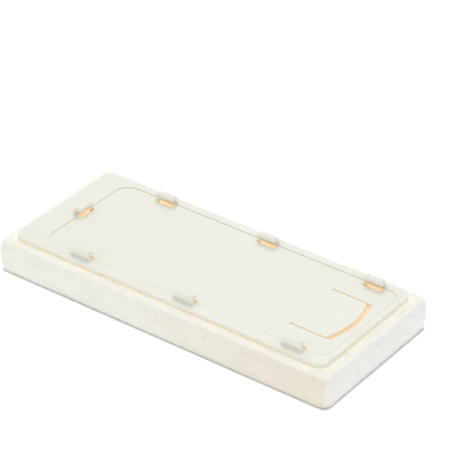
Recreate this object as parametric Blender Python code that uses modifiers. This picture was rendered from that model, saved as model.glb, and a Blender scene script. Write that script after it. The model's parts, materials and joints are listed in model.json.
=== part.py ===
"""Clip-on sponge refill pad for a grout-wash float, plate side up.

A block of open-cell sponge is glued to a thin moulded plate.  Clips along the
plate's edges hook over the base of the float, and a tongue cut free on three
sides at the +X end flexes to let the base slide in and out.

Units are metres.  The origin is the centre of the sponge's working face, which
lies on the ground.  +X runs along the pad towards the tongue, +Z points up.
"""

import math

import bmesh
import bpy
from mathutils import Matrix

MM = 0.001
GAP = 0.3 * MM                      # clearance between touching pieces
CUT_MARGIN = 5 * MM                 # how far a cutter runs past what it cuts

# Sponge block
PAD_LENGTH = 328 * MM
PAD_WIDTH = 140 * MM
SPONGE_THICKNESS = 30 * MM
SPONGE_CORNER_RADIUS = 4.5 * MM
SPONGE_TOP_ROUND = 2.5 * MM
SPONGE_BOTTOM_ROUND = 1.0 * MM

# Adhesive film and moulded plate
PLATE_LENGTH = 309 * MM
PLATE_WIDTH = 124.6 * MM
PLATE_CORNER_RADIUS = 8 * MM
PLATE_EDGE_ROUND = 0.5 * MM
ADHESIVE_THICKNESS = 0.4 * MM
ADHESIVE_INSET = 0.6 * MM           # the film stops this far inside the plate's edge
RIM_THICKNESS = 3.0 * MM
RECESS_DEPTH = 0.6 * MM

ADHESIVE_BOTTOM_Z = SPONGE_THICKNESS + GAP
PLATE_BOTTOM_Z = ADHESIVE_BOTTOM_Z + ADHESIVE_THICKNESS + GAP
RIM_Z = PLATE_BOTTOM_Z + RIM_THICKNESS
PANEL_Z = RIM_Z - RECESS_DEPTH

# Recessed panel that seats the float's base
PANEL_LEFT_X = -131.0 * MM
PANEL_RIGHT_X = 151.8 * MM
PANEL_HALF_WIDTH = 54.6 * MM
PANEL_CORNER_RADIUS = 14 * MM

# Clips: three along each long side, one at the -X end
CLIP_TOP_Z = 41.0 * MM
CLIP_BASE_LENGTH = 21.0 * MM
CLIP_TOP_LENGTH = 16.0 * MM
CLIP_WALL = 2.0 * MM
CLIP_REACH = 7.4 * MM               # outer face to the tip of the nose
CLIP_NOSE_THICKNESS = 3.0 * MM      # at the wall; its top slopes down to the tip
CLIP_TIP_THICKNESS = 1.3 * MM
CLIP_SHOULDER = 1.8 * MM            # how far the top slopes down to the outer face
CLIP_EDGE_ROUND = 0.5 * MM
CLIP_PITCH = 105 * MM
CLIP_FAR_MIDDLE_X = 19.3 * MM
CLIP_NEAR_MIDDLE_X = 16.3 * MM
CLIP_OUTER_Y = 56.7 * MM            # outer face of the side clips
CLIP_OUTER_X = -135.0 * MM          # outer face of the end clip
CLIP_BASE_Z = RIM_Z + GAP

# Window through the plate below each nose
WINDOW_CORNER_RADIUS = 2.1 * MM
WINDOW_END_CLEARANCE = 0.3 * MM     # past each end of the nose
WINDOW_TIP_CLEARANCE = 0.4 * MM     # past the tip of the nose
WINDOW_LEDGE = 1.0 * MM             # left between the window and the clip's wall

# Tongue, hinged on the line where its relief slots start
TONGUE_ROOT_X = 101.5 * MM
TONGUE_HALF_WIDTH = 28.5 * MM
TONGUE_THICKNESS = 1.6 * MM
TONGUE_CORNER_X = 133.6 * MM        # free end at the sides
TONGUE_TIP_X = 139.3 * MM           # free end on the centre line
TONGUE_TIP_ROUND = 2.0 * MM
SLOT_WIDTH = 1.4 * MM
SLOT_HOLE_RADIUS = 1.3 * MM
END_SLOT_CORNER_X = 138.2 * MM      # far wall of the end slot at the sides
END_SLOT_TIP_X = 144.0 * MM         # far wall on the centre line
END_SLOT_CORNER_ROUND = 3.0 * MM
RELIEF_MARGIN = 2.0 * MM            # the film stops this far outside the slots

CORNER_STEPS = 6
ARC_STEPS = 14
WELD_DISTANCE = 1e-6
CUT_WELD = 0.03 * MM
SHARP_ANGLE = math.radians(30)


def clear_scene():
    for scene_object in list(bpy.data.objects):
        bpy.data.objects.remove(scene_object, do_unlink=True)


def new_collection(name):
    collection = bpy.data.collections.new(name)
    bpy.context.scene.collection.children.link(collection)
    return collection


def plain_material(name, color, roughness):
    """A Principled BSDF material; color is linear RGB."""
    material = bpy.data.materials.new(name)
    material.use_nodes = True
    shader = material.node_tree.nodes["Principled BSDF"]
    shader.inputs["Base Color"].default_value = (*color, 1.0)
    shader.inputs["Roughness"].default_value = roughness
    shader.inputs["Metallic"].default_value = 0.0
    material.diffuse_color = (*color, 1.0)
    return material


def arc_points(center, radius, start, end, steps):
    """Points along a circular arc, both ends included; angles in radians."""
    points = []
    for step in range(steps + 1):
        angle = start + (end - start) * step / steps
        points.append((center[0] + radius * math.cos(angle), center[1] + radius * math.sin(angle)))
    return points


def rounded_corner(before, corner, after, radius):
    """Points that round one corner of an outline with a circular arc."""
    ax, ay = before[0] - corner[0], before[1] - corner[1]
    bx, by = after[0] - corner[0], after[1] - corner[1]
    a_len, b_len = math.hypot(ax, ay), math.hypot(bx, by)
    ax, ay, bx, by = ax / a_len, ay / a_len, bx / b_len, by / b_len
    half_angle = math.acos(max(-1.0, min(1.0, ax * bx + ay * by))) / 2
    setback = radius / math.tan(half_angle)
    mid_x, mid_y = ax + bx, ay + by
    mid_len = math.hypot(mid_x, mid_y)
    to_center = radius / math.sin(half_angle)
    center = (corner[0] + mid_x / mid_len * to_center, corner[1] + mid_y / mid_len * to_center)
    start = math.atan2(corner[1] + ay * setback - center[1], corner[0] + ax * setback - center[0])
    end = math.atan2(corner[1] + by * setback - center[1], corner[0] + bx * setback - center[0])
    turn = (end - start + math.pi) % (2 * math.pi) - math.pi
    return arc_points(center, radius, start, start + turn, CORNER_STEPS)


def rounded_rectangle(x_low, x_high, y_low, y_high, radius):
    corners = [(x_high, y_high), (x_low, y_high), (x_low, y_low), (x_high, y_low)]
    points = []
    for index, corner in enumerate(corners):
        points += rounded_corner(corners[index - 1], corner, corners[(index + 1) % 4], radius)
    return points


def bowed_end(corner_x, tip_x, half_width):
    """An arc bulging to +X, from (corner_x, -half_width) to (corner_x, +half_width)."""
    bulge = tip_x - corner_x
    radius = (half_width ** 2 + bulge ** 2) / (2 * bulge)
    swing = math.asin(half_width / radius)
    return arc_points((tip_x - radius, 0.0), radius, -swing, swing, ARC_STEPS)


def round_both_ends(root_x, half_width, end_arc, radius):
    """A closed outline: a straight root, straight sides and a bowed end with round corners."""
    low = rounded_corner((root_x, -half_width), end_arc[0], end_arc[2], radius)
    high = rounded_corner(end_arc[-3], end_arc[-1], (root_x, half_width), radius)
    return [(root_x, half_width), (root_x, -half_width)] + low + end_arc[2:-2] + high


def outline_solid(name, points, z_low, z_high, collection):
    """Extrudes a flat outline between two heights and returns it as a closed mesh object."""
    curve = bpy.data.curves.new(name, "CURVE")
    curve.dimensions = "2D"
    curve.fill_mode = "BOTH"
    curve.extrude = (z_high - z_low) / 2
    spline = curve.splines.new("POLY")
    spline.points.add(len(points) - 1)
    for point, (x, y) in zip(spline.points, points):
        point.co = (x, y, 0.0, 1.0)
    spline.use_cyclic_u = True
    guide = bpy.data.objects.new(name + "_outline", curve)
    guide.location.z = (z_low + z_high) / 2
    collection.objects.link(guide)
    bpy.context.view_layer.update()
    evaluated = guide.evaluated_get(bpy.context.evaluated_depsgraph_get())
    mesh = bpy.data.meshes.new_from_object(evaluated)
    mesh.transform(guide.matrix_world)
    bpy.data.objects.remove(guide, do_unlink=True)

    welded = bmesh.new()
    welded.from_mesh(mesh)
    bmesh.ops.remove_doubles(welded, verts=welded.verts, dist=WELD_DISTANCE)
    bmesh.ops.recalc_face_normals(welded, faces=welded.faces)
    welded.to_mesh(mesh)
    welded.free()

    mesh.name = name
    solid = bpy.data.objects.new(name, mesh)
    collection.objects.link(solid)
    return solid


def hide_cutter(cutter):
    cutter.display_type = "WIRE"
    cutter.hide_render = True
    return cutter


def cutter_solid(name, points, z_low, z_high):
    return hide_cutter(outline_solid(name, points, z_low, z_high, CUTTERS))


def cylinder_cutter(name, x, y, radius, z_low, z_high):
    mesh = bpy.data.meshes.new(name)
    shape = bmesh.new()
    bmesh.ops.create_cone(
        shape,
        cap_ends=True,
        segments=24,
        radius1=radius,
        radius2=radius,
        depth=z_high - z_low,
        matrix=Matrix.Translation((x, y, (z_low + z_high) / 2)),
    )
    shape.to_mesh(mesh)
    shape.free()
    cutter = bpy.data.objects.new(name, mesh)
    CUTTERS.objects.link(cutter)
    return hide_cutter(cutter)


def boolean(target, tool, operation):
    modifier = target.modifiers.new(tool.name, "BOOLEAN")
    modifier.object = tool
    modifier.operation = operation
    modifier.solver = "EXACT"


def bevel(target, width, segments, angle_degrees):
    modifier = target.modifiers.new("edge_round", "BEVEL")
    modifier.width = width
    modifier.segments = segments
    modifier.limit_method = "ANGLE"
    modifier.angle_limit = math.radians(angle_degrees)
    modifier.use_clamp_overlap = True


def weld(target):
    """Merges the hair-thin edges that crossing cuts leave behind."""
    modifier = target.modifiers.new("weld", "WELD")
    modifier.merge_threshold = CUT_WELD


def finish_piece(piece, material):
    piece.data.materials.clear()
    piece.data.materials.append(material)
    piece.data.shade_smooth()
    piece.data.set_sharp_from_angle(angle=SHARP_ANGLE)


def build_sponge_block(material):
    """A box with round upright corners, softer along its top edge than its working face."""
    mesh = bpy.data.meshes.new("sponge_block")
    shape = bmesh.new()
    bmesh.ops.create_cube(shape, size=1.0)
    bmesh.ops.scale(shape, vec=(PAD_LENGTH, PAD_WIDTH, SPONGE_THICKNESS), verts=shape.verts)
    bmesh.ops.translate(shape, vec=(0.0, 0.0, SPONGE_THICKNESS / 2), verts=shape.verts)
    upright = [edge for edge in shape.edges if edge.verts[0].co.xy == edge.verts[1].co.xy]
    bmesh.ops.bevel(
        shape, geom=upright, offset=SPONGE_CORNER_RADIUS, segments=CORNER_STEPS, affect="EDGES", profile=0.5
    )
    for height, radius in ((SPONGE_THICKNESS, SPONGE_TOP_ROUND), (0.0, SPONGE_BOTTOM_ROUND)):
        ring = [
            edge for edge in shape.edges if all(abs(vert.co.z - height) < WELD_DISTANCE for vert in edge.verts)
        ]
        bmesh.ops.bevel(shape, geom=ring, offset=radius, segments=3, affect="EDGES", profile=0.5)
    shape.to_mesh(mesh)
    shape.free()
    sponge = bpy.data.objects.new("sponge_block", mesh)
    PARTS.objects.link(sponge)
    finish_piece(sponge, material)


def tongue_opening(margin):
    """Outline of the opening in the plate round the tongue, grown outwards by margin."""
    half_width = TONGUE_HALF_WIDTH + SLOT_WIDTH + margin
    far_wall = bowed_end(END_SLOT_CORNER_X + margin, END_SLOT_TIP_X + margin, half_width)
    return round_both_ends(TONGUE_ROOT_X - margin, half_width, far_wall, END_SLOT_CORNER_ROUND)


def build_adhesive_layer(material):
    """Thin glue film under the plate, left out below the tongue."""
    half_length = PLATE_LENGTH / 2 - ADHESIVE_INSET
    half_width = PLATE_WIDTH / 2 - ADHESIVE_INSET
    outline = rounded_rectangle(-half_length, half_length, -half_width, half_width, PLATE_CORNER_RADIUS)
    top = ADHESIVE_BOTTOM_Z + ADHESIVE_THICKNESS
    film = outline_solid("adhesive_layer", outline, ADHESIVE_BOTTOM_Z, top, PARTS)
    relief = cutter_solid(
        "adhesive_relief", tongue_opening(RELIEF_MARGIN), ADHESIVE_BOTTOM_Z - CUT_MARGIN, top + CUT_MARGIN
    )
    boolean(film, relief, "DIFFERENCE")
    finish_piece(film, material)


def slot_end_holes():
    """Round ends of the relief slots, which cut both the plate and the tongue."""
    side_y = TONGUE_HALF_WIDTH + SLOT_WIDTH / 2
    holes = []
    for name, y in (("slot_end_near", -side_y), ("slot_end_far", side_y)):
        holes.append(
            cylinder_cutter(
                name, TONGUE_ROOT_X, y, SLOT_HOLE_RADIUS, PLATE_BOTTOM_Z - CUT_MARGIN, RIM_Z + CUT_MARGIN
            )
        )
    return holes


def clip_places():
    """(name, x, y, turn about Z) of each clip; at turn 0 the nose points to +Y."""
    places = []
    for column, step in (("left", -1), ("middle", 0), ("right", 1)):
        near_x = CLIP_NEAR_MIDDLE_X + step * CLIP_PITCH
        far_x = CLIP_FAR_MIDDLE_X + step * CLIP_PITCH
        places.append(("near_" + column, near_x, -CLIP_OUTER_Y, 0.0))
        places.append(("far_" + column, far_x, CLIP_OUTER_Y, math.pi))
    places.append(("left_end", CLIP_OUTER_X, 0.0, -math.pi / 2))
    return places


def clip_half_length(z):
    """Half the length of a clip at a height: its ends slope in towards the top."""
    rise = (z - CLIP_BASE_Z) / (CLIP_TOP_Z - CLIP_BASE_Z)
    return (CLIP_BASE_LENGTH + (CLIP_TOP_LENGTH - CLIP_BASE_LENGTH) * rise) / 2


def build_backing_plate(material, holes):
    """Plate with a recessed panel, the clips' windows and the opening round the tongue."""
    half_length, half_width = PLATE_LENGTH / 2, PLATE_WIDTH / 2
    outline = rounded_rectangle(-half_length, half_length, -half_width, half_width, PLATE_CORNER_RADIUS)
    plate = outline_solid("backing_plate", outline, PLATE_BOTTOM_Z, RIM_Z, PARTS)
    bevel(plate, PLATE_EDGE_ROUND, 2, 60)

    panel = rounded_rectangle(
        PANEL_LEFT_X, PANEL_RIGHT_X, -PANEL_HALF_WIDTH, PANEL_HALF_WIDTH, PANEL_CORNER_RADIUS
    )
    boolean(plate, cutter_solid("panel_recess", panel, PANEL_Z, RIM_Z + CUT_MARGIN), "DIFFERENCE")

    low, high = PLATE_BOTTOM_Z - CUT_MARGIN, RIM_Z + CUT_MARGIN
    half_window = clip_half_length(CLIP_TOP_Z - CLIP_NOSE_THICKNESS) + WINDOW_END_CLEARANCE
    window = rounded_rectangle(
        -half_window,
        half_window,
        CLIP_WALL + WINDOW_LEDGE,
        CLIP_REACH + WINDOW_TIP_CLEARANCE,
        WINDOW_CORNER_RADIUS,
    )
    for name, x, y, turn in clip_places():
        cutter = cutter_solid("window_" + name, window, low, high)
        cutter.location = (x, y, 0.0)
        cutter.rotation_euler.z = turn
        boolean(plate, cutter, "DIFFERENCE")

    boolean(plate, cutter_solid("tongue_opening", tongue_opening(0.0), low, high), "DIFFERENCE")
    for hole in holes:
        boolean(plate, hole, "DIFFERENCE")
    weld(plate)
    finish_piece(plate, material)


def build_latch_tongue(material, holes):
    """Thin tongue, level with the panel, with its origin on its flexing line."""
    root_x = TONGUE_ROOT_X + GAP
    free_end = bowed_end(TONGUE_CORNER_X, TONGUE_TIP_X, TONGUE_HALF_WIDTH)
    outline = round_both_ends(root_x, TONGUE_HALF_WIDTH, free_end, TONGUE_TIP_ROUND)
    tongue = outline_solid("latch_tongue", outline, PANEL_Z - TONGUE_THICKNESS, PANEL_Z, PARTS)
    hinge = (TONGUE_ROOT_X, 0.0, PANEL_Z - TONGUE_THICKNESS / 2)
    tongue.data.transform(Matrix.Translation(hinge).inverted())
    tongue.location = hinge
    for hole in holes:
        boolean(tongue, hole, "DIFFERENCE")
    weld(tongue)
    finish_piece(tongue, material)


def clip_mesh():
    """One clip: an upright wall with an inward nose, under a roof-shaped head.

    The ends slope in towards the top.  Local axes: X along the clip, Y inwards
    from the outer face, Z as in the part.
    """
    nose_z = CLIP_TOP_Z - CLIP_NOSE_THICKNESS
    profile = [
        (0.0, CLIP_BASE_Z),
        (CLIP_WALL, CLIP_BASE_Z),
        (CLIP_WALL, nose_z),
        (CLIP_REACH, nose_z),
        (CLIP_REACH, nose_z + CLIP_TIP_THICKNESS),
        (CLIP_WALL, CLIP_TOP_Z),
        (0.0, CLIP_TOP_Z - CLIP_SHOULDER),
    ]
    body = outline_solid("clip", profile, -1.0, 1.0, CUTTERS)
    for vertex in body.data.vertices:
        inwards, height, side = vertex.co
        vertex.co = (side * clip_half_length(height), inwards, height)
    bevel(body, CLIP_EDGE_ROUND, 2, 40)
    bpy.context.view_layer.update()
    shaped = body.evaluated_get(bpy.context.evaluated_depsgraph_get())
    mesh = bpy.data.meshes.new_from_object(shaped)
    mesh.name = "clip"
    bpy.data.objects.remove(body, do_unlink=True)
    return mesh


def build_clips(material):
    shared = clip_mesh()
    for name, x, y, turn in clip_places():
        clip = bpy.data.objects.new("clip_" + name, shared)
        clip.location = (x, y, 0.0)
        clip.rotation_euler.z = turn
        PARTS.objects.link(clip)
        finish_piece(clip, material)


clear_scene()
PARTS = new_collection("sponge_refill_pad")
CUTTERS = new_collection("cutters")

HOLES = slot_end_holes()
build_sponge_block(plain_material("open_cell_sponge", (0.83, 0.81, 0.74), 0.95))
build_adhesive_layer(plain_material("amber_adhesive", (0.75, 0.48, 0.22), 0.6))
build_backing_plate(plain_material("moulded_plate", (0.86, 0.86, 0.80), 0.42), HOLES)
build_latch_tongue(plain_material("moulded_tongue", (0.86, 0.86, 0.80), 0.42), HOLES)
build_clips(plain_material("moulded_clips", (0.87, 0.87, 0.81), 0.42))
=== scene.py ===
"""Looks of a clip-on sponge refill pad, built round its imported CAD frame.

The sponge is a fine displaced mesh with real pores.  The plate, its clips and
its tongue are one moulding on the real object: the clips' feet run into the
rim, and the tongue bends out of the panel.  The glue shows as an amber bead
along the plate's edge and at the bottom of every opening.

Units are metres, in the CAD frame: +X towards the tongue, +Z up, ground at 0.
"""

import json
import math

import bmesh
import bpy
import numpy as np
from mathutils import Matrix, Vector


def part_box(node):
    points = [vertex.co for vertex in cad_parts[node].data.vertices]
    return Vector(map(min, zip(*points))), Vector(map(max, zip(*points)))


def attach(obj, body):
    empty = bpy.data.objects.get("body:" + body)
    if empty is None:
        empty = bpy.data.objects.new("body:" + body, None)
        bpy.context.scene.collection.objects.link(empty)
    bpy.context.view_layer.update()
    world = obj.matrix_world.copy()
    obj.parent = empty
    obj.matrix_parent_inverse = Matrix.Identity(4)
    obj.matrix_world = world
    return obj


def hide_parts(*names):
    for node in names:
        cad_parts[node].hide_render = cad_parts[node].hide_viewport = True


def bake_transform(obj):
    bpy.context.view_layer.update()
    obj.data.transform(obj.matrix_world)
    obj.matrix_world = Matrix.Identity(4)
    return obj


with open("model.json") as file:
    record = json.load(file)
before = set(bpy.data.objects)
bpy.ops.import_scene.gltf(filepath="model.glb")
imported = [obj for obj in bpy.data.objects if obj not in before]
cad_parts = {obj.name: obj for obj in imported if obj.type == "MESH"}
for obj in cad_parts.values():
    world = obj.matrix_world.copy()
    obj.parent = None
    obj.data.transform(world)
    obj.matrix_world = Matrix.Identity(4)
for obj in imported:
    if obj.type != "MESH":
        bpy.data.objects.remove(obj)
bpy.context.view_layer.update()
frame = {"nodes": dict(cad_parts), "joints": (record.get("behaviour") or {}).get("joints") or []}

MM = 0.001

# Places that the frame gives
SPONGE_LOW, SPONGE_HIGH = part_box("sponge_block")
FILM_LOW, FILM_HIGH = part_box("adhesive_layer")
PLATE_LOW, PLATE_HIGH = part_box("backing_plate")
TONGUE_LOW, TONGUE_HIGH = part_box("latch_tongue")
HINGE = Vector(frame["joints"][0]["pos_m"])
RIM_Z = PLATE_HIGH.z
PANEL_Z = TONGUE_HIGH.z
CLIP_NODES = sorted(name for name in frame["nodes"] if name.startswith("clip_"))

# Sponge
SPONGE_CORNER = 4.5 * MM
SPONGE_WORN_CORNER = 8.0 * MM       # the corner at +X, -Y
SPONGE_TOP_ROUND = 3.6 * MM
SPONGE_BOTTOM_ROUND = 1.2 * MM
SPONGE_BELLY = 1.3 * MM             # how far the sides swell at half height
BELLY_EXTRA = 0.3                   # share by which the belly grows at the -X end
BELLY_EXTRA_REACH = 30 * MM
SPONGE_PITCH = 1.1 * MM             # size of a quad of the sponge's mesh

# Pores of the foam: (cell, (least radius, greatest radius), chance, seed)
LARGE_PORES = (7.0 * MM, (0.9 * MM, 2.0 * MM), 0.8, 21)
SMALL_PORES = (3.0 * MM, (0.5 * MM, 1.0 * MM), 0.6, 41)
LARGE_PORES_ELSEWHERE = 0.15        # share of their depth off the working face
SMALL_PORES_ELSEWHERE = 0.5
PORE_LIMIT = 1.6 * MM               # no pore is deeper
PORE_WARP = 0.7 * MM                # how far pores are pulled out of round
PORE_WARP_SIZE = 3.0 * MM
PORE_WARP_SEEDS = (11, 12, 13)

# Noise layers: (height, size, seed)
FOAM_WAVES = (0.25 * MM, 45 * MM, 61)
FOAM_FUZZ = (0.16 * MM, 1.9 * MM, 62)
FOAM_LUMPS = (0.16 * MM, 7 * MM, 63)
SOAK_WAVES = ((2.5 * MM, 14 * MM, 71), (0.8 * MM, 3 * MM, 72))
BEAD_WAVES = ((0.45 * MM, 11 * MM, 81), (0.25 * MM, 2.5 * MM, 82))

# Stains and tints on the foam; the top's tint is painted light
SOAK_REACH = 6.0 * MM               # how far glue has crept out from under the plate
SOAK_STRENGTH = 0.58                # at the plate's edge; it is 1 under the plate
CALM_UNDER_PLATE = 0.6              # share of its texture that the foam loses there
TOP_PAINTED_LIGHT = 0.85
BOTTOM_TINT = 0.6
WARM_FROM, WARM_TO = -40 * MM, 150 * MM     # along X, where the -Y side turns warmer

# Plate, measured in from its own edges
PLATE_CORNER = 8.0 * MM
PANEL_FROM_LEFT = 23.5 * MM
PANEL_FROM_RIGHT = 2.7 * MM
PANEL_FROM_SIDES = 7.7 * MM
PANEL_CORNER = 14.0 * MM
GROOVE_WIDTH = 3.0 * MM
GROOVE_DEPTH = 0.26 * MM            # more than MOULD_ROUND, or the rounded edges cross
MOULD_ROUND = 0.22 * MM             # radius on the moulding's edges

# Openings in the plate
WINDOW_LEDGE = 3.0 * MM             # from a clip's outer face to its window
WINDOW_PAST_TIP = 0.4 * MM
WINDOW_END_GAP = 0.3 * MM
WINDOW_CORNER = 2.1 * MM
SLOT_WIDTH = 1.4 * MM
SLOT_HOLE_RADIUS = 1.3 * MM
SLOT_HOLE_SIDES = 28
END_SLOT_SIDE = 4.6 * MM            # width of the end slot at its sides
END_SLOT_MIDDLE = 4.7 * MM
END_SLOT_CORNER = 3.0 * MM
TONGUE_BOW = 5.7 * MM               # how far the tongue's end bulges
TONGUE_TIP_ROUND = 2.0 * MM
TONGUE_STRIP = 2.0 * MM             # spacing of the cuts across the tongue

# Clips
CLIP_SLOPE = 2.5 * MM               # how far each end leans in from foot to top
CLIP_WALL = 2.0 * MM
CLIP_NOSE = 3.0 * MM                # thickness of the nose
CLIP_TIP = 0.7 * MM                 # thickness of the nose at its tip
CLIP_FOOT_FLARE = 0.6 * MM
CLIP_FOOT_SINK = 0.15 * MM          # how far the foot runs into the rim
CLIP_UNDER_ROUND = 0.7 * MM         # between the wall and the nose's underside
CLIP_DOME = 1.9 * MM                # how far the head's ends draw in under its crown
CLIP_CROWN = 0.12                   # share of the nose's reach left at the crown
CLIP_CROWN_OUTER = 0.5 * MM         # of the wall's thickness left at the crown
CLIP_EDGE = 0.5 * MM
CLIP_CORNER = 0.5 * MM
CLIP_HEAD_CORNER = 0.6 * MM

# Glue: the film under the plate, with a bead at its edge
BEAD_STEP = 0.9 * MM                # spacing of points along the bead
BEAD_SWELL = 0.1 * MM               # how far it stands out on average
BEAD_LEAST, BEAD_MOST = -0.6 * MM, 0.7 * MM
BEAD_PROFILE = (                    # (share of its height, how far it leans out)
    (0.0, -0.5 * MM),
    (0.12, -0.1 * MM),
    (0.35, 0.12 * MM),
    (0.62, 0.1 * MM),
    (0.85, -0.1 * MM),
    (1.0, -0.4 * MM),
)
FILM_INTO_FOAM = 0.35 * MM
FILM_INTO_PLATE = 0.1 * MM
FILM_RELIEF = 2.0 * MM              # how much wider than the tongue's opening its hole is

# Glue that has risen through the windows
GLUE_RINGS = 10
GLUE_STEP = 0.5 * MM                # spacing of points along a ring
GLUE_GAP = 0.08 * MM                # left between the glue and the window's wall
GLUE_RISE = 0.15 * MM               # of its edge above the plate's underside
GLUE_SKIRT = 0.3 * MM
GLUE_MOUND = 1.2 * MM
GLUE_LUMP_SIZE = 3 * MM
GLUE_LUMP_SEED = 91
PIT_INSET = 1.7 * MM
PIT_CORE, PIT_EDGE = 1.2 * MM, 2.1 * MM
PIT_FLATTENS = 0.9                  # share of the mound that a pit takes away
# how strongly the near windows' pits are painted dark, as shadow
NEAR_PIT_SHADOW = 0.4
BLOB_HEIGHT = 3.4 * MM              # of the glue that shows at the near windows' +X end
BLOB_INSET = 1.6 * MM
BLOB_CORE, BLOB_EDGE = 0.3 * MM, 2.6 * MM

# Amber light from the glue, painted onto the plastic as colour and glow, and a painted shade line in the
# groove: strength of the "cast" attribute
CAST_IN_OPENINGS = 0.9
CAST_IN_GROOVE = 0.1
CAST_ON_OUTER_EDGE = 0.1
CAST_UNDER_TONGUE = 0.8
CAST_UNDER_NOSE = 0.75
CAST_INSET = 1.5 * MM               # from the plate's edge to where the openings' walls count

CUT_PAST = 5.0 * MM
WELD_DISTANCE = 0.04 * MM
FLAT_ANGLE = math.radians(0.5)
SHARP_ANGLE = math.radians(40)
TOUCH = 0.02 * MM


# --- shapes in plan -----------------------------------------------------------


def arc(center, radius, start, end, steps):
    """Points along a circular arc, both ends included; angles in radians."""
    angles = [start + (end - start) * step / steps for step in range(steps + 1)]
    return [(center[0] + radius * math.cos(a), center[1] + radius * math.sin(a)) for a in angles]


def rounded_corner(before, corner, after, radius, steps):
    """Points that round one corner of an outline with a circular arc."""
    to_before = (Vector(before) - Vector(corner)).normalized()
    to_after = (Vector(after) - Vector(corner)).normalized()
    half_angle = to_before.angle(to_after) / 2
    center = Vector(corner) + (to_before + to_after).normalized() * radius / math.sin(half_angle)
    setback = radius / math.tan(half_angle)
    first = Vector(corner) + to_before * setback - center
    last = Vector(corner) + to_after * setback - center
    start = math.atan2(first.y, first.x)
    turn = (math.atan2(last.y, last.x) - start + math.pi) % (2 * math.pi) - math.pi
    return arc(center, radius, start, start + turn, steps)


def rounded_rectangle(x_low, x_high, y_low, y_high, radius, steps=12):
    """Outline with rounded corners, each of the given number of steps."""
    corners = [(x_high, y_high), (x_low, y_high), (x_low, y_low), (x_high, y_low)]
    points = []
    for index, corner in enumerate(corners):
        following = corners[(index + 1) % 4]
        points += rounded_corner(corners[index - 1], corner, following, radius, steps)
    return points


def bowed_outline(root_x, half_width, corner_x, bow, radius):
    """Straight root at -X, straight sides, and an end that bulges to +X by bow."""
    sphere = (half_width ** 2 + bow ** 2) / (2 * bow)
    swing = math.asin(half_width / sphere)
    end = arc((corner_x + bow - sphere, 0.0), sphere, -swing, swing, 40)
    low = rounded_corner((root_x, -half_width), end[0], end[3], radius, 8)
    high = rounded_corner(end[-4], end[-1], (root_x, half_width), radius, 8)
    return [(root_x, half_width), (root_x, -half_width)] + low + end[4:-4] + high


# --- meshes -------------------------------------------------------------------


def mesh_object(name, points, faces):
    mesh = bpy.data.meshes.new(name)
    mesh.from_pydata([tuple(point) for point in points], [], [tuple(face) for face in faces])
    mesh.update()
    piece = bpy.data.objects.new(name, mesh)
    bpy.context.scene.collection.objects.link(piece)
    return piece


def loft(name, rings):
    """A closed skin through rings of equally many points, capped at both ends."""
    count = len(rings[0])
    points = [point for ring in rings for point in ring]
    faces = [list(range(count))[::-1], list(range((len(rings) - 1) * count, len(rings) * count))]
    for level in range(len(rings) - 1):
        for index in range(count):
            following = (index + 1) % count
            low, high = level * count, (level + 1) * count
            faces.append((low + index, low + following, high + following, high + index))
    return mesh_object(name, points, faces)


def extruded(name, outline, low, high):
    return loft(name, [[(x, y, z) for x, y in outline] for z in (low, high)])


def cut(piece, tools):
    """Cuts the tools out of the piece for good, and removes them."""
    for tool in tools:
        modifier = piece.modifiers.new(tool.name, "BOOLEAN")
        modifier.object = tool
        modifier.operation = "DIFFERENCE"
        modifier.solver = "EXACT"
    bpy.context.view_layer.update()
    evaluated = piece.evaluated_get(bpy.context.evaluated_depsgraph_get())
    mesh = bpy.data.meshes.new_from_object(evaluated)
    piece.modifiers.clear()
    piece.data = mesh
    for tool in tools:
        bpy.data.objects.remove(tool, do_unlink=True)


def round_edges(piece, radius, keep_sharp, strips=()):
    """Rounds sharp edges, except those that keep_sharp picks out by their ends.

    The piece is first cut across, without a gap, at each x in strips.
    """
    shape = bmesh.new()
    shape.from_mesh(piece.data)
    bmesh.ops.remove_doubles(shape, verts=shape.verts, dist=WELD_DISTANCE)
    bmesh.ops.dissolve_limit(
        shape, angle_limit=FLAT_ANGLE, verts=shape.verts, edges=shape.edges, delimit={"NORMAL"}
    )
    for x in strips:
        geometry = shape.verts[:] + shape.edges[:] + shape.faces[:]
        bmesh.ops.bisect_plane(shape, geom=geometry, plane_co=(x, 0, 0), plane_no=(1, 0, 0), dist=1e-7)
    sharp = [
        edge
        for edge in shape.edges
        if len(edge.link_faces) == 2
        and edge.calc_face_angle() > SHARP_ANGLE
        and not keep_sharp(edge.verts[0].co, edge.verts[1].co)
    ]
    bmesh.ops.bevel(
        shape, geom=sharp, offset=radius, offset_type="OFFSET", segments=3, profile=0.5, affect="EDGES",
        clamp_overlap=False,
    )
    shape.to_mesh(piece.data)
    shape.free()


def smooth(piece, angle_degrees=35):
    """Smooth shading whose flat faces stay flat up to their rounded edges."""
    piece.data.shade_smooth()
    piece.data.set_sharp_from_angle(angle=math.radians(angle_degrees))
    modifier = piece.modifiers.new("flat_faces", "WEIGHTED_NORMAL")
    modifier.keep_sharp = True


# --- repeatable noise ---------------------------------------------------------


def cell_random(cells, seed):
    """A value from 0 to 1 for each integer cell, always the same for one seed."""
    factors = (73856093, 19349663, 83492791)
    mixed = np.full(len(cells), seed * 2654435761 % 2**32, np.uint32)
    for axis, factor in enumerate(factors):
        mixed ^= cells[:, axis].astype(np.uint32) * np.uint32(factor)
    for shift, factor in ((16, 2246822519), (13, 3266489917)):
        mixed ^= mixed >> np.uint32(shift)
        mixed *= np.uint32(factor)
    mixed ^= mixed >> np.uint32(16)
    return mixed / 2.0**32


def value_noise(points, cell, seed):
    """Smooth noise from -1 to 1 that changes over about one cell."""
    scaled = points / cell
    base = np.floor(scaled).astype(np.int64)
    part = scaled - base
    part = part * part * (3 - 2 * part)
    total = np.zeros(len(points))
    for dx in (0, 1):
        for dy in (0, 1):
            for dz in (0, 1):
                corner = np.array((dx, dy, dz))
                weight = np.prod(np.where(corner, part, 1 - part), axis=1)
                total += weight * cell_random(base + corner, seed)
    return total * 2 - 1


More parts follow.
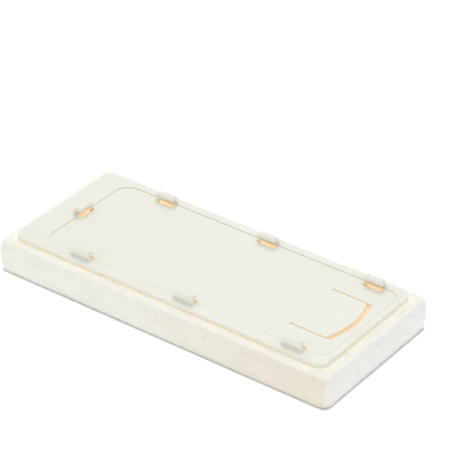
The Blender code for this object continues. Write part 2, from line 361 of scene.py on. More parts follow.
def layered_noise(points, layers):
    """Sum of noises; each layer is (height, size, seed)."""
    return sum(height * value_noise(points, size, seed) for height, size, seed in layers)


def sunken_noise(points, layer):
    """Noise from 0 down to minus its height; the layer is (height, size, seed)."""
    height, size, seed = layer
    return height * (value_noise(points, size, seed) - 1) / 2


def pore_depth(points, normals, cell, radii, chance, seed):
    """How deep spherical pores, one to a cell at most, bite into the surface at each point."""
    base = np.floor(points / cell).astype(np.int64)
    depth = np.zeros(len(points))
    steps = (-1, 0, 1)
    for step in [(x, y, z) for x in steps for y in steps for z in steps]:
        cells = base + np.array(step)
        center = np.stack([cell_random(cells, seed + axis) for axis in (1, 2, 3)], axis=1)
        away = (cells + center) * cell - points
        radius = radii[0] + (radii[1] - radii[0]) * cell_random(cells, seed + 4) ** 2
        radius = np.where(cell_random(cells, seed + 5) < chance, radius, 0.0)
        below = -np.einsum("ij,ij->i", away, normals)
        aside = np.einsum("ij,ij->i", away, away) - below**2
        reach = np.sqrt(np.maximum(radius**2 - aside, 0.0))
        bite = np.where((reach > 0) & (np.abs(below) < radius), below + reach, 0.0)
        depth = np.maximum(depth, bite)
    return depth


def fade(value, start, end):
    """Smooth step from 0 at start to 1 at end."""
    part = np.clip((value - start) / (end - start), 0.0, 1.0)
    return part * part * (3 - 2 * part)


# --- materials ----------------------------------------------------------------


class Nodes:
    """A material's node tree with short calls for what the materials here need."""

    def __init__(self, name, color, roughness):
        self.material = bpy.data.materials.new(name)
        self.material.use_nodes = True
        self.material.diffuse_color = (*color, 1.0)
        self.tree = self.material.node_tree
        self.shader = self.tree.nodes["Principled BSDF"]
        self.shader.inputs["Base Color"].default_value = (*color, 1.0)
        self.shader.inputs["Roughness"].default_value = roughness
        self.place = self.tree.nodes.new("ShaderNodeTexCoord").outputs["Object"]

    def link(self, source, target):
        self.tree.links.new(source, target)

    def noise(self, size, detail=3.0, roughness=0.55):
        """Noise whose largest features are about size across."""
        node = self.tree.nodes.new("ShaderNodeTexNoise")
        node.inputs["Scale"].default_value = 1.0 / size
        node.inputs["Detail"].default_value = detail
        node.inputs["Roughness"].default_value = roughness
        self.link(self.place, node.inputs["Vector"])
        return node.outputs["Fac"]

    def cells(self, size):
        """Distance from the middle of the nearest cell, in cells."""
        node = self.tree.nodes.new("ShaderNodeTexVoronoi")
        node.inputs["Scale"].default_value = 1.0 / size
        self.link(self.place, node.inputs["Vector"])
        return node.outputs["Distance"]

    def attribute(self, name):
        node = self.tree.nodes.new("ShaderNodeAttribute")
        node.attribute_name = name
        return node.outputs["Fac"]

    def steepness(self):
        """0 on level faces, 1 on upright ones."""
        normal = self.tree.nodes.new("ShaderNodeNewGeometry").outputs["Normal"]
        node = self.tree.nodes.new("ShaderNodeSeparateXYZ")
        self.link(normal, node.inputs["Vector"])
        size = self.tree.nodes.new("ShaderNodeMath")
        size.operation = "ABSOLUTE"
        self.link(node.outputs["Z"], size.inputs[0])
        return self.spread(size.outputs["Value"], 0.9, 0.4)

    def spread(self, source, low, high, to_low=0.0, to_high=1.0):
        """Maps low..high to to_low..to_high, smoothly and clamped."""
        node = self.tree.nodes.new("ShaderNodeMapRange")
        node.interpolation_type = "SMOOTHSTEP"
        self.link(source, node.inputs["Value"])
        for key, value in (("From Min", low), ("From Max", high), ("To Min", to_low), ("To Max", to_high)):
            node.inputs[key].default_value = value
        return node.outputs["Result"]

    def mix(self, amount, first, second):
        """Colour between first and second; each is a colour or a socket."""
        node = self.tree.nodes.new("ShaderNodeMix")
        node.data_type = "RGBA"
        self.link(amount, node.inputs["Factor"])
        for socket, value in ((node.inputs[6], first), (node.inputs[7], second)):
            if isinstance(value, tuple):
                socket.default_value = (*value, 1.0)
            else:
                self.link(value, socket)
        return node.outputs[2]

    def bump(self, source, distance, strength=1.0, normal=None):
        node = self.tree.nodes.new("ShaderNodeBump")
        node.inputs["Distance"].default_value = distance
        node.inputs["Strength"].default_value = strength
        self.link(source, node.inputs["Height"])
        if normal:
            self.link(normal, node.inputs["Normal"])
        return node.outputs["Normal"]

    def paint(self, color):
        self.link(color, self.shader.inputs["Base Color"])

    def emit(self, color, strength):
        self.link(color, self.shader.inputs["Emission Color"])
        self.shader.inputs["Emission Strength"].default_value = strength

    def subsurface(self, weight, radius):
        for key, value in (("Weight", weight), ("Radius", radius), ("Scale", 1.0)):
            self.shader.inputs["Subsurface " + key].default_value = value


def tinted(color, factors):
    return tuple(channel * factor for channel, factor in zip(color, factors))


WHITE_PLASTIC = (0.73, 0.735, 0.68)
PLASTIC_CLOUD = (0.985, 0.98, 0.955)        # factors for its cloudy patches
PLASTIC_SIDE_SHADE = (1.0, 0.985, 0.945)         # factors for its upright faces: painted shade
AMBER = (0.84, 0.67, 0.44)
TAN = (0.74, 0.63, 0.48)
BLACK = (0.0, 0.0, 0.0)
WHITE = (1.0, 1.0, 1.0)

FOAM_CREAM = (0.765, 0.760, 0.715)
FOAM_MOTTLE = (0.73, 0.725, 0.67)
FOAM_WARM = (0.735, 0.685, 0.590)
FOAM_END_SHADE = (0.735, 0.735, 0.72)
FOAM_SPECK = (0.64, 0.60, 0.52)
FOAM_TOP_LIT = (0.88, 0.87, 0.80)
FOAM_BOTTOM = (0.82, 0.79, 0.68)
FOAM_PORE_SHADE = (0.74, 0.55, 0.31)
# glue stain, lighter than the foam as painted light; the glows are painted light
FOAM_STAIN_AND_LIGHT = (0.91, 0.87, 0.75)
STAINED_GLOW = (0.28, 0.26, 0.20)
SOAKED_GLOW = (0.56, 0.48, 0.37)

SQUEEZED_GLUE = (0.80, 0.75, 0.64)
SQUEEZED_PATCH = (0.76, 0.69, 0.55)
# painted glow of the bead
SQUEEZED_GLOW = 0.04
RISEN_GLUE = (0.80, 0.59, 0.33)
RISEN_PATCH = (0.87, 0.71, 0.47)
# painted glow of the glue in the windows, as light shining through it
RISEN_GLOW = 0.46
# near black painted into the pits as their shadow
PIT_SHADOW_COLOR = (0.12, 0.05, 0.015)

FLOOR_WHITE = (0.9, 0.9, 0.9)
# painted contact shadow on the floor
FLOOR_CONTACT_SHADOW = (0.6, 0.6, 0.59)


def plastic_material(name, color):
    """Moulded plastic, a little translucent; its "cast" attribute is painted amber light with a painted
    glow, and its upright faces carry painted shade.
    """
    nodes = Nodes(name, color, 0.42)
    cloud = nodes.spread(nodes.noise(60 * MM, detail=4), 0.35, 0.65)
    clouded = nodes.mix(cloud, tinted(color, PLASTIC_CLOUD), color)
    # upright faces are painted darker, as shade
    shaded = nodes.mix(nodes.steepness(), clouded, tinted(color, PLASTIC_SIDE_SHADE))
    cast = nodes.attribute("cast")
    # painted amber light and glow where "cast" is set
    nodes.paint(nodes.mix(cast, shaded, AMBER))
    nodes.emit(nodes.mix(cast, BLACK, AMBER), 0.35)
    gloss = nodes.spread(nodes.noise(3 * MM, detail=5), 0.3, 0.7, to_low=0.34, to_high=0.5)
    nodes.link(gloss, nodes.shader.inputs["Roughness"])
    ripple = nodes.bump(nodes.noise(45 * MM, detail=2), 0.25 * MM)
    grain = nodes.bump(nodes.noise(0.45 * MM, detail=3), 0.012 * MM, normal=ripple)
    nodes.link(grain, nodes.shader.inputs["Normal"])
    nodes.subsurface(0.25, (2.4 * MM, 1.9 * MM, 1.3 * MM))
    return nodes.material


def sponge_material():
    """Open-cell sponge: cream, painted tan in its pores as shade, greyer on its +X end as painted shade
    and lighter on top as painted light; glue stains round and under the plate carry painted light and a
    painted glow.
    """
    nodes = Nodes("open_cell_sponge", FOAM_CREAM, 0.95)
    cloud = nodes.spread(nodes.noise(26 * MM, detail=5, roughness=0.6), 0.35, 0.7)
    body = nodes.mix(cloud, FOAM_CREAM, FOAM_MOTTLE)
    body = nodes.mix(nodes.attribute("warm"), body, FOAM_WARM)
    # the +X end is painted greyer, as shade
    body = nodes.mix(nodes.attribute("end_shade"), body, FOAM_END_SHADE)
    dots = nodes.noise(2.0 * MM, detail=5, roughness=0.75)
    body = nodes.mix(nodes.spread(dots, 0.50, 0.66, to_high=0.55), body, FOAM_SPECK)
    # upward faces painted lighter, as light
    body = nodes.mix(nodes.attribute("top"), body, FOAM_TOP_LIT)
    body = nodes.mix(nodes.attribute("bottom"), body, FOAM_BOTTOM)
    # pores painted tan by their depth, as shade
    body = nodes.mix(nodes.spread(nodes.attribute("pore"), 0.1, 0.9, to_high=0.85), body, FOAM_PORE_SHADE)
    # glue stain, lightened on the margin as painted light, with a painted glow
    glue_soak_and_glow = nodes.attribute("glue_soak_and_glow")
    stain_and_light = nodes.mix(nodes.spread(glue_soak_and_glow, 0.0, 0.6, to_high=0.75), body, FOAM_STAIN_AND_LIGHT)
    nodes.paint(nodes.mix(nodes.spread(glue_soak_and_glow, 0.6, 1.0), stain_and_light, TAN))
    glow = nodes.mix(nodes.spread(glue_soak_and_glow, 0.0, 0.6), BLACK, STAINED_GLOW)
    nodes.emit(nodes.mix(nodes.spread(glue_soak_and_glow, 0.6, 1.0), glow, SOAKED_GLOW), 0.45)
    holes = nodes.spread(nodes.cells(0.9 * MM), 0.15, 0.45)
    coarse = nodes.bump(holes, 0.22 * MM, strength=0.6)
    grain = nodes.noise(0.5 * MM, detail=4, roughness=0.7)
    fine = nodes.bump(grain, 0.13 * MM, strength=0.8, normal=coarse)
    nodes.link(fine, nodes.shader.inputs["Normal"])
    nodes.subsurface(0.2, (2.0 * MM, 1.6 * MM, 1.0 * MM))
    nodes.shader.inputs["Specular IOR Level"].default_value = 0.2
    return nodes.material


def glue_material(name, color, patch_color, glow):
    """Dried glue with a soft gloss; its pits are painted near black as shadow, and its glow is painted
    light from below.
    """
    nodes = Nodes(name, color, 0.4)
    patches = nodes.spread(nodes.noise(7 * MM, detail=4, roughness=0.6), 0.42, 0.66)
    mottled = nodes.mix(patches, color, patch_color)
    pit_shadow = nodes.attribute("pit_shadow")
    # pits painted near black, as shadow
    nodes.paint(nodes.mix(pit_shadow, mottled, PIT_SHADOW_COLOR))
    # painted glow
    nodes.emit(nodes.mix(pit_shadow, mottled, BLACK), glow)
    gloss = nodes.spread(nodes.noise(2 * MM, detail=4), 0.3, 0.7, to_low=0.3, to_high=0.55)
    nodes.link(gloss, nodes.shader.inputs["Roughness"])
    dimples = nodes.bump(nodes.noise(1.4 * MM, detail=4), 0.2 * MM)
    nodes.link(dimples, nodes.shader.inputs["Normal"])
    nodes.subsurface(0.1, (1.0 * MM, 0.5 * MM, 0.2 * MM))
    return nodes.material


def floor_material():
    """White table lit from within, except for a painted contact shadow in a thin line where the pad
    touches it.
    """
    nodes = Nodes("white_table", FLOOR_WHITE, 0.9)
    lit = nodes.attribute("lit")
    # painted contact shadow where the floor is not lit
    nodes.paint(nodes.mix(lit, FLOOR_CONTACT_SHADOW, FLOOR_WHITE))
    nodes.emit(nodes.mix(lit, BLACK, WHITE), 0.42)
    nodes.shader.inputs["Specular IOR Level"].default_value = 0.0
    return nodes.material


# --- sponge -------------------------------------------------------------------


def surface_lattice(counts):
    """Integer points on a box's six faces, and the outward quads between them."""
    shape = tuple(count + 1 for count in counts)
    on_surface = np.zeros(shape, bool)
    on_surface[[0, -1]] = True
    on_surface[:, [0, -1]] = True
    on_surface[:, :, [0, -1]] = True
    ids = np.full(shape, -1, np.int64)
    ids[on_surface] = np.arange(on_surface.sum())
    sheets = (
        (ids[:, :, 0], True),
        (ids[:, :, -1], False),
        (ids[:, 0, :], False),
        (ids[:, -1, :], True),
        (ids[0, :, :], True),
        (ids[-1, :, :], False),
    )
    quads = []
    for sheet, flip in sheets:
        corners = [sheet[:-1, :-1], sheet[1:, :-1], sheet[1:, 1:], sheet[:-1, 1:]]
        quad = np.stack(corners, axis=-1).reshape(-1, 4)
        quads.append(quad[:, ::-1] if flip else quad)
    return np.argwhere(on_surface), np.concatenate(quads)


def square_to_round(a, b):
    """Moves points so that squares round the origin become circles of the same reach."""
    reach = np.maximum(np.abs(a), np.abs(b))
    length = np.hypot(a, b)
    scale = np.divide(reach, length, out=np.ones_like(reach), where=length > 0)
    return a * scale, b * scale


def rounded_block(points):
    """Rounds the upright corners and then the long edges of points on the sponge's box."""
    half = (SPONGE_HIGH - SPONGE_LOW) / 2
    worn = (points[:, 0] > 0) & (points[:, 1] < 0)
    corner = np.where(worn, SPONGE_WORN_CORNER, SPONGE_CORNER)
    core_x = np.clip(points[:, 0], corner - half.x, half.x - corner)
    core_y = np.clip(points[:, 1], corner - half.y, half.y - corner)
    out_x, out_y = square_to_round(points[:, 0] - core_x, points[:, 1] - core_y)
    reach = np.hypot(out_x, out_y)
    z = points[:, 2].copy()
    edges = ((SPONGE_HIGH.z, 1, SPONGE_TOP_ROUND), (SPONGE_LOW.z, -1, SPONGE_BOTTOM_ROUND))
    for edge_z, sign, radius in edges:
        outwards = reach - (corner - radius)
        upwards = (z - edge_z) * sign + radius
        near = (outwards > 0) & (upwards > 0)
        round_out, round_up = square_to_round(outwards[near], upwards[near])
        scale = (round_out + corner[near] - radius) / reach[near]
        out_x[near] *= scale
        out_y[near] *= scale
        z[near] = edge_z + sign * (round_up - radius)
    return np.stack([core_x + out_x, core_y + out_y, z], axis=1)


def settled(points):
    """Sides that swell at half height, a little more at the -X end."""
    half = (SPONGE_HIGH - SPONGE_LOW) / 2
    rise = points[:, 2] / SPONGE_HIGH.z
    swell = fade(rise, 0.0, 0.4) * (1 - fade(rise, 0.6, 1.0))
    end = 1 + BELLY_EXTRA * fade(-points[:, 0], half.x - BELLY_EXTRA_REACH, half.x)
    grow = swell * SPONGE_BELLY * end
    across = points.copy()
    across[:, 0] += grow * np.clip(points[:, 0] / half.x, -1, 1) ** 5
    across[:, 1] += grow * np.clip(points[:, 1] / half.y, -1, 1) ** 5
    return across


def outside_plate(x, y):
    """Distance from the plate's outline in plan, negative inside it."""
    aside_x = np.abs(x) - (PLATE_HIGH.x - PLATE_CORNER)
    aside_y = np.abs(y) - (PLATE_HIGH.y - PLATE_CORNER)
    beyond = np.hypot(np.maximum(aside_x, 0), np.maximum(aside_y, 0))
    return beyond + np.minimum(np.maximum(aside_x, aside_y), 0) - PLATE_CORNER


def vertex_places(mesh):
    co = np.empty(len(mesh.vertices) * 3)
    mesh.vertices.foreach_get("co", co)
    return co.reshape(-1, 3)


def store(mesh, name, values):
    layer = mesh.attributes.new(name, "FLOAT", "POINT")
    layer.data.foreach_set("value", values.astype(np.float32))


def foam_texture(points, normals, facing_down):
    """How far the foam's surface sinks at each point, and how deep its pores are from 0 to 1."""
    warp = [value_noise(points, PORE_WARP_SIZE, seed) for seed in PORE_WARP_SEEDS]
    warped = points + np.stack(warp, axis=1) * PORE_WARP
    depth = np.zeros(len(points))
    for pores, elsewhere in (
        (LARGE_PORES, LARGE_PORES_ELSEWHERE),
        (SMALL_PORES, SMALL_PORES_ELSEWHERE),
    ):
        share = elsewhere + (1 - elsewhere) * facing_down
        depth = np.maximum(depth, pore_depth(warped, normals, *pores) * share)
    depth = PORE_LIMIT * np.tanh(depth / PORE_LIMIT)
    inwards = depth
    for layer in (FOAM_WAVES, FOAM_FUZZ, FOAM_LUMPS):
        inwards = inwards - sunken_noise(points, layer)
    return inwards, depth / PORE_LIMIT


def make_sponge(material):
    """Foam block of fine quads, sunk at its pores, with its stains, painted light and painted shade stored
    as attributes.
    """
    size = SPONGE_HIGH - SPONGE_LOW
    counts = [round(extent / SPONGE_PITCH) for extent in size]
    lattice, quads = surface_lattice(counts)
    points = lattice / np.array(counts) * np.array(size) + np.array(SPONGE_LOW)
    points = settled(rounded_block(points))
    sponge = mesh_object("foam_block", points, quads)
    normals = np.empty(len(points) * 3)
    sponge.data.vertices.foreach_get("normal", normals)
    normals = normals.reshape(-1, 3)
    facing_up = fade(normals[:, 2], 0.6, 0.95)
    facing_down = fade(-normals[:, 2], 0.6, 0.95)

    distance = outside_plate(points[:, 0], points[:, 1])
    under = fade(-distance, -0.2 * MM, 1.0 * MM) * facing_up
    creep = SOAK_REACH + layered_noise(points, SOAK_WAVES)
    glue_soak_and_glow = np.where(distance > 0, SOAK_STRENGTH * (1 - fade(distance, 0.0, creep)), 1.0)
    inwards, pores = foam_texture(points, normals, facing_down)
    points = points - normals * (inwards * (1 - CALM_UNDER_PLATE * under))[:, None]
    sponge.data.vertices.foreach_set("co", points.ravel())
    sponge.data.update()
    warm = fade(points[:, 0], WARM_FROM, WARM_TO) * fade(-normals[:, 1], 0.5, 0.9)
    store(sponge.data, "pore", pores)
    # glue stain, also carrying painted light and a painted glow
    store(sponge.data, "glue_soak_and_glow", glue_soak_and_glow * facing_up)
    # upward faces: painted light
    store(sponge.data, "top", TOP_PAINTED_LIGHT * fade(normals[:, 2], 0.15, 0.8))
    store(sponge.data, "bottom", BOTTOM_TINT * facing_down)
    store(sponge.data, "warm", warm)
    # +X faces: painted shade
    store(sponge.data, "end_shade", fade(normals[:, 0], 0.5, 0.9))
    sponge.data.shade_smooth()
    sponge.data.materials.append(material)
    return sponge


# --- glue ---------------------------------------------------------------------


def along_outline(outline, step):
    """Evenly spaced points along a closed outline, with the outward normal at each."""
    corners = np.array(outline + outline[:1])
    lengths = np.concatenate([[0.0], np.cumsum(np.hypot(*np.diff(corners, axis=0).T))])
    where = np.arange(0.0, lengths[-1] - step / 2, step)
    points = np.stack([np.interp(where, lengths, corners[:, axis]) for axis in (0, 1)], axis=1)
    ahead = np.roll(points, -1, axis=0) - np.roll(points, 1, axis=0)
    ahead /= np.hypot(*ahead.T)[:, None]
    return points, np.stack([ahead[:, 1], -ahead[:, 0]], axis=1)


def make_glue(material):
    """Film under the plate whose edge squeezes out as an uneven bead."""
    sides = (PLATE_LOW.x, PLATE_HIGH.x, PLATE_LOW.y, PLATE_HIGH.y)
    points, outwards = along_outline(rounded_rectangle(*sides, PLATE_CORNER), BEAD_STEP)
    flat = np.column_stack([points, np.zeros(len(points))])
    swell = BEAD_SWELL + layered_noise(flat, BEAD_WAVES)
    swell = np.clip(swell, BEAD_LEAST, BEAD_MOST)
    bottom, top = SPONGE_HIGH.z - FILM_INTO_FOAM, PLATE_LOW.z + FILM_INTO_PLATE
    rings = []
    for rise, lean in BEAD_PROFILE:
        edge = points + outwards * (swell + lean)[:, None]
        z = bottom + (top - bottom) * rise
        rings.append([(x, y, z) for x, y in edge])
    film = loft("glue_film", rings)
    opening = tongue_opening(FILM_RELIEF)
    cut(film, [extruded("relief", opening, FILM_LOW.z - CUT_PAST, FILM_HIGH.z + CUT_PAST)])
    film.data.shade_smooth()
    film.data.set_sharp_from_angle(angle=math.radians(50))
    film.data.materials.append(material)
    return film


def pit_place(name, half_length, depth):
    """Where a window's dark pit is, in its clip's own plan."""
    end = -1 if name == "clip_left_end" else 1
    return end * (half_length - PIT_INSET), depth - PIT_INSET


def make_window_glue(name, material):
    """Glue risen through one window: a low mound with a pit painted dark as shadow, and a blob in near
    windows.
    """
    half, low, high = window_extent(name)
    near_row = name.startswith("clip_near")
    sides = (GLUE_GAP - half, half - GLUE_GAP, low + GLUE_GAP, high - GLUE_GAP)
    plan = rounded_rectangle(*sides, WINDOW_CORNER - GLUE_GAP, 8)
    edge, _ = along_outline(plan, GLUE_STEP)
    middle = np.array((0.0, (low + high) / 2))
    pit = np.array(pit_place(name, half, high))
    blob = np.array((half - BLOB_INSET, (low + high) / 2))
    blob_height = BLOB_HEIGHT if near_row else 0.0
    pit_shadow_strength = NEAR_PIT_SHADOW if near_row else 1.0
    base = PLATE_LOW.z + GLUE_RISE
    noise_shift = len(name) * 10 * MM
    rings = [[(x, y, base - GLUE_SKIRT) for x, y in placed(name, edge)]]
    pit_shadow = [np.zeros(len(edge))]
    for step in range(GLUE_RINGS):
        part = 1 - step / GLUE_RINGS
        plan = middle + (edge - middle) * part
        flat = np.column_stack([plan, np.full(len(plan), noise_shift)])
        dark = 1 - fade(np.hypot(*(plan - pit).T), PIT_CORE, PIT_EDGE)
        lumps = 1 + 0.5 * value_noise(flat, GLUE_LUMP_SIZE, GLUE_LUMP_SEED)
        mound = GLUE_MOUND * (1 - part**4) * lumps
        rise = 1 - fade(np.hypot(*(plan - blob).T), BLOB_CORE, BLOB_EDGE)
        z = base + mound * (1 - PIT_FLATTENS * dark) + blob_height * rise
        rings.append([(x, y, height) for (x, y), height in zip(placed(name, plan), z)])
        pit_shadow.append(dark * pit_shadow_strength)
    glue = loft(name.replace("clip", "window_glue"), rings)
    store(glue.data, "pit_shadow", np.concatenate(pit_shadow))
    glue.data.shade_smooth()
    glue.data.materials.append(material)
    return glue


# --- plate, tongue and clips --------------------------------------------------


def tongue_opening(margin=0.0):
    """Outline of the slots and the tongue between them, widened by margin."""
    half_width = TONGUE_HIGH.y + SLOT_WIDTH + margin
    corner_x = TONGUE_HIGH.x - TONGUE_BOW + END_SLOT_SIDE + margin
    bow = TONGUE_BOW + END_SLOT_MIDDLE - END_SLOT_SIDE
    return bowed_outline(HINGE.x - margin, half_width, corner_x, bow, END_SLOT_CORNER)


def slot_end_holes():
    holes = []
    for side in (-1, 1):
        center = (HINGE.x, side * (TONGUE_HIGH.y + SLOT_WIDTH / 2))
        last = 2 * math.pi * (SLOT_HOLE_SIDES - 1) / SLOT_HOLE_SIDES
        ring = arc(center, SLOT_HOLE_RADIUS, 0.0, last, SLOT_HOLE_SIDES - 1)
        holes.append(extruded("slot_end", ring, PLATE_LOW.z - CUT_PAST, RIM_Z + CUT_PAST))
    return holes


def clip_frame(name):
    """(center, inward direction, length direction) of a clip's outer face, in plan."""
    low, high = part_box(name)
    middle = (low + high) / 2
    if name == "clip_left_end":
        return Vector((low.x, middle.y)), Vector((1, 0)), Vector((0, -1))
    if middle.y > 0:
        return Vector((middle.x, high.y)), Vector((0, -1)), Vector((-1, 0))
    return Vector((middle.x, low.y)), Vector((0, 1)), Vector((1, 0))


def clip_size(name):
    """(length, depth) of a clip in plan."""
    low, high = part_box(name)
    size = high - low
    return max(size.x, size.y), min(size.x, size.y)


def window_extent(name):
    """Half the length of the window under a clip, and its lowest and highest distance inwards."""
    length, depth = clip_size(name)
    low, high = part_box(name)
    lean = CLIP_SLOPE * (1 - CLIP_NOSE / (high.z - low.z))
    return length / 2 - lean + WINDOW_END_GAP, WINDOW_LEDGE, depth + WINDOW_PAST_TIP


def placed(name, outline):
    """Turns (along, inwards) points of a clip's own plan into plate coordinates."""
    center, inwards, along = clip_frame(name)
    return [tuple(center + along * float(a) + inwards * float(b)) for a, b in outline]


def on_root_line(first, second):
    return abs(first.x - HINGE.x) < TOUCH and abs(second.x - HINGE.x) < TOUCH


def on_groove_floor(first, second):
    low, high = sorted((first.z, second.z))
    return high < PANEL_Z - GROOVE_DEPTH / 2 and low > PANEL_Z - 2 * GROOVE_DEPTH


def keeps_sharp(first, second):
    return on_root_line(first, second) or on_groove_floor(first, second)


def plate_cast(places):
    """Painted amber light on the plate, in its openings and at its outer foot, and a painted shade line in
    the groove.
    """
    inside = outside_plate(places[:, 0], places[:, 1]) < -CAST_INSET
    height = places[:, 2]
    foot = 1 - fade(height, PLATE_LOW.z + 0.3 * MM, PLATE_LOW.z + 1.2 * MM)
    # the groove's floor gets a painted shade line
    in_groove = 1 - fade(height, PANEL_Z - 0.1 * MM, PANEL_Z - 0.05 * MM)
    within = np.maximum(CAST_IN_OPENINGS * foot, CAST_IN_GROOVE * in_groove)
    return np.where(inside, within, CAST_ON_OUTER_EDGE * foot)


def make_plate(material):
    """Plate with a recessed panel, a fine groove round its foot, and all its openings."""
    edges = (PLATE_LOW.x, PLATE_HIGH.x, PLATE_LOW.y, PLATE_HIGH.y)
    outline = rounded_rectangle(*edges, PLATE_CORNER, 16)
    plate = extruded("plate_moulding", outline, PLATE_LOW.z, RIM_Z)
    sides = (
        PLATE_LOW.x + PANEL_FROM_LEFT,
        PLATE_HIGH.x - PANEL_FROM_RIGHT,
        PLATE_LOW.y + PANEL_FROM_SIDES,
        PLATE_HIGH.y - PANEL_FROM_SIDES,
    )
    panel = rounded_rectangle(*sides, PANEL_CORNER, 20)
    recess = extruded("recess", panel, PANEL_Z, RIM_Z + CUT_PAST)
    groove = extruded("groove", panel, PANEL_Z - GROOVE_DEPTH, RIM_Z + CUT_PAST)
    inner = [side + sign * GROOVE_WIDTH for side, sign in zip(sides, (1, -1, 1, -1))]
    island = rounded_rectangle(*inner, PANEL_CORNER - GROOVE_WIDTH, 20)
    low, high = PLATE_LOW.z - CUT_PAST, RIM_Z + CUT_PAST
    cut(groove, [extruded("island", island, low, high + CUT_PAST)])

    openings = [extruded("opening", tongue_opening(), low, high)] + slot_end_holes()
    for name in CLIP_NODES:
        half, near, far = window_extent(name)
        window = rounded_rectangle(-half, half, near, far, WINDOW_CORNER, 8)
        openings.append(extruded("window", placed(name, window), low, high))
    cut(plate, [recess, groove] + openings)
    round_edges(plate, MOULD_ROUND, keeps_sharp)
    store(plate.data, "cast", plate_cast(vertex_places(plate.data)))
    smooth(plate)
    plate.data.materials.append(material)
    return plate


def make_tongue(material):
    """Thin tongue that grows out of the panel at its root."""
    outline = bowed_outline(
        HINGE.x, TONGUE_HIGH.y, TONGUE_HIGH.x - TONGUE_BOW, TONGUE_BOW, TONGUE_TIP_ROUND
    )
    tongue = extruded("spring_tongue", outline, TONGUE_LOW.z, PANEL_Z)
    cut(tongue, slot_end_holes())
    count = int((TONGUE_HIGH.x - HINGE.x) / TONGUE_STRIP)
    strips = [HINGE.x + TONGUE_STRIP * step for step in range(1, count)]
    round_edges(tongue, MOULD_ROUND, on_root_line, strips)
    height = vertex_places(tongue.data)[:, 2]
    # painted amber light and glow low on the tongue's sides
    foot = 1 - fade(height, TONGUE_LOW.z + 0.3 * MM, PANEL_Z - 0.2 * MM)
    store(tongue.data, "cast", CAST_UNDER_TONGUE * foot)
    smooth(tongue)
    tongue.data.materials.append(material)
    return tongue


def clip_ring(name, half_length, outer, inner, corner, z):
    """One level of a clip: a rounded rectangle in the clip's own plan, at height z."""
    plan = rounded_rectangle(-half_length, half_length, outer, inner, corner, 5)
    return [(x, y, z) for x, y in placed(name, plan)]


def quarter(steps):
    """Sine and cosine at even steps over a quarter turn."""
    angles = [math.radians(90) * step / steps for step in range(steps + 1)]
    return [(math.sin(angle), math.cos(angle)) for angle in angles]


def clip_levels(name):
    """Rings of a clip from foot to crown: (half length, outer, inner, corner radius, z)."""
    low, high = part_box(name)
    length, depth = clip_size(name)
    foot, top = RIM_Z, high.z
    nose = top - CLIP_NOSE

    def half(z):
        return length / 2 - CLIP_SLOPE * max(0.0, z - foot) / (top - foot)

    flare = CLIP_FOOT_FLARE
    levels = [(half(foot) + flare, -flare, CLIP_WALL, CLIP_CORNER, foot - CLIP_FOOT_SINK)]
    for sine, cosine in quarter(4):
        flare = CLIP_FOOT_FLARE * (1 - sine)
        z = foot + CLIP_FOOT_FLARE * (1 - cosine)
        levels.append((half(z) + flare, -flare, CLIP_WALL, CLIP_CORNER, z))
    for sine, cosine in quarter(3):
        z = nose - CLIP_UNDER_ROUND * (1 - sine)
        inner = CLIP_WALL + CLIP_UNDER_ROUND * (1 - cosine)
        levels.append((half(z), 0.0, inner, CLIP_CORNER, z))
    for sine, cosine in quarter(3):
        z = nose + CLIP_EDGE * (1 - cosine)
        levels.append((half(z), 0.0, depth - CLIP_EDGE * (1 - sine), CLIP_CORNER, z))
    shoulder = nose + CLIP_TIP
    for sine, cosine in quarter(7):
        z = shoulder + (top - shoulder) * sine
        inner = CLIP_WALL + (depth - CLIP_WALL) * (CLIP_CROWN + (1 - CLIP_CROWN) * cosine)
        outer = (CLIP_WALL - CLIP_CROWN_OUTER) * (1 - cosine)
        dome = CLIP_DOME * (1 - cosine)
        levels.append((half(shoulder) - dome, outer, inner, CLIP_HEAD_CORNER, z))
    return levels


def make_clip(name, material):
    """Clip whose foot flares into the rim, under a domed head with an inward nose."""
    clip = loft(name + "_hook", [clip_ring(name, *level) for level in clip_levels(name)])
    shape = bmesh.new()
    shape.from_mesh(clip.data)
    bmesh.ops.recalc_face_normals(shape, faces=shape.faces)
    shape.to_mesh(clip.data)
    shape.free()
    center, inwards, _ = clip_frame(name)
    co = vertex_places(clip.data)
    depth = (co[:, :2] - np.array(center)) @ np.array(inwards)
    # painted amber light and glow under the nose, past the wall
    throat = co[:, 2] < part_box(name)[1].z - CLIP_NOSE + CLIP_EDGE / 2
    past_wall = fade(depth, CLIP_WALL + 0.1 * MM, CLIP_WALL + 1.0 * MM)
    store(clip.data, "cast", CAST_UNDER_NOSE * throat * past_wall)
    smooth(clip, 50)
    clip.data.materials.append(material)
    return clip


# --- stage --------------------------------------------------------------------

CAMERA_AZIMUTH = 37.43              # of the camera's place, seen from the origin
CAMERA_ELEVATION = 34.28
CAMERA_DISTANCE = 2.0087
CAMERA_AIM = (-0.0002, 0.0344, 0.0429)
CAMERA_LENS = 188.94                # in mm, as is the sensor's width
CAMERA_SENSOR = 36.0
KEY_PLACE = (-0.6, 0.9, 1.2)
KEY_SIZE = 0.7
KEY_POWER = 4.0                     # in watts
CONTACT_SHADOW_WIDTH = 2.4 * MM             # width of the painted contact shadow round the pad's foot
FLOOR_RINGS = (                     # (distance out from the pad, how lit the floor is)
    (-4 * MM, 0.2),
    (0.0, 0.2),
    (CONTACT_SHADOW_WIDTH, 1.0),
    (60 * MM, 1.0),
    (3.0, 1.0),
)


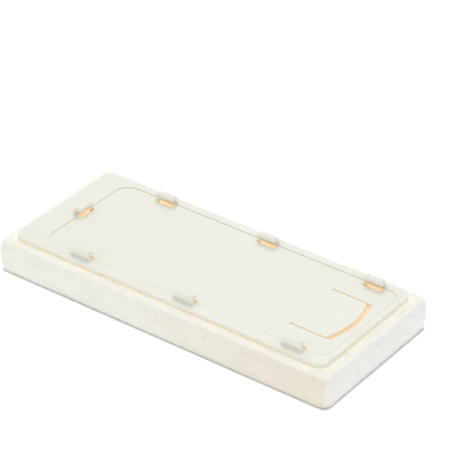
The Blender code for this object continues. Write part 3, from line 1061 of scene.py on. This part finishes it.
def make_camera():
    data = bpy.data.cameras.new("camera")
    data.lens = CAMERA_LENS
    data.sensor_width = CAMERA_SENSOR
    data.clip_start = 0.05
    data.clip_end = 20.0
    camera = bpy.data.objects.new("camera", data)
    azimuth, elevation = math.radians(CAMERA_AZIMUTH), math.radians(CAMERA_ELEVATION)
    away = Vector((
        math.sin(azimuth) * math.cos(elevation),
        -math.cos(azimuth) * math.cos(elevation),
        math.sin(elevation),
    ))
    camera.location = away * CAMERA_DISTANCE
    back = camera.location - Vector(CAMERA_AIM)
    camera.rotation_mode = "QUATERNION"
    camera.rotation_quaternion = back.to_track_quat("Z", "Y")
    bpy.context.scene.collection.objects.link(camera)
    bpy.context.scene.camera = camera


def make_softbox(name, place, size, power):
    """A square area light at place that faces the pad."""
    data = bpy.data.lights.new(name, "AREA")
    data.shape = "SQUARE"
    data.size = size
    data.energy = power
    light = bpy.data.objects.new(name, data)
    light.location = place
    light.rotation_mode = "QUATERNION"
    light.rotation_quaternion = Vector(place).to_track_quat("Z", "Y")
    bpy.context.scene.collection.objects.link(light)


def make_floor():
    """Flat rings round the pad's footprint, with a thin painted contact shadow at its edge."""
    points, lit = [], []
    for margin, light in FLOOR_RINGS:
        ring = rounded_rectangle(
            SPONGE_LOW.x - margin,
            SPONGE_HIGH.x + margin,
            SPONGE_LOW.y - margin,
            SPONGE_HIGH.y + margin,
            SPONGE_CORNER + max(margin, 0.0),
        )
        points += [(x, y, 0.0) for x, y in ring]
        lit += [light] * len(ring)
    count = len(ring)
    faces = [range(count)]
    for band in range(len(FLOOR_RINGS) - 1):
        for index in range(count):
            inner, outer = band * count, (band + 1) * count
            following = (index + 1) % count
            faces.append((inner + index, outer + index, outer + following, inner + following))
    floor = mesh_object("floor", points, faces)
    store(floor.data, "lit", np.array(lit))
    floor.data.materials.append(floor_material())


def make_stage():
    make_floor()
    world = bpy.data.worlds.new("studio")
    bpy.context.scene.world = world
    world.use_nodes = True
    background = world.node_tree.nodes["Background"]
    background.inputs["Color"].default_value = (*WHITE, 1.0)
    background.inputs["Strength"].default_value = 1.0
    make_softbox("key", KEY_PLACE, KEY_SIZE, KEY_POWER)
    bpy.context.scene.view_settings.view_transform = "Standard"


# --- assembly -----------------------------------------------------------------

make_camera()
make_stage()

PLATE_FINISH = plastic_material("moulded_plastic", WHITE_PLASTIC)

sponge = make_sponge(sponge_material())
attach(sponge, "pad")
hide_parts("sponge_block")

glue = make_glue(glue_material("squeezed_glue", SQUEEZED_GLUE, SQUEEZED_PATCH, SQUEEZED_GLOW))
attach(glue, "pad")
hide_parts("adhesive_layer")

RISEN_FINISH = glue_material("risen_glue", RISEN_GLUE, RISEN_PATCH, RISEN_GLOW)
for clip_name in CLIP_NODES:
    window_glue = make_window_glue(clip_name, RISEN_FINISH)
    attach(window_glue, "pad")

plate = make_plate(PLATE_FINISH)
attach(plate, "pad")
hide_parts("backing_plate")

for clip_name in CLIP_NODES:
    clip = make_clip(clip_name, PLATE_FINISH)
    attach(clip, "pad")
    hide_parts(clip_name)

tongue = make_tongue(PLATE_FINISH)
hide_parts("latch_tongue")
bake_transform(tongue)
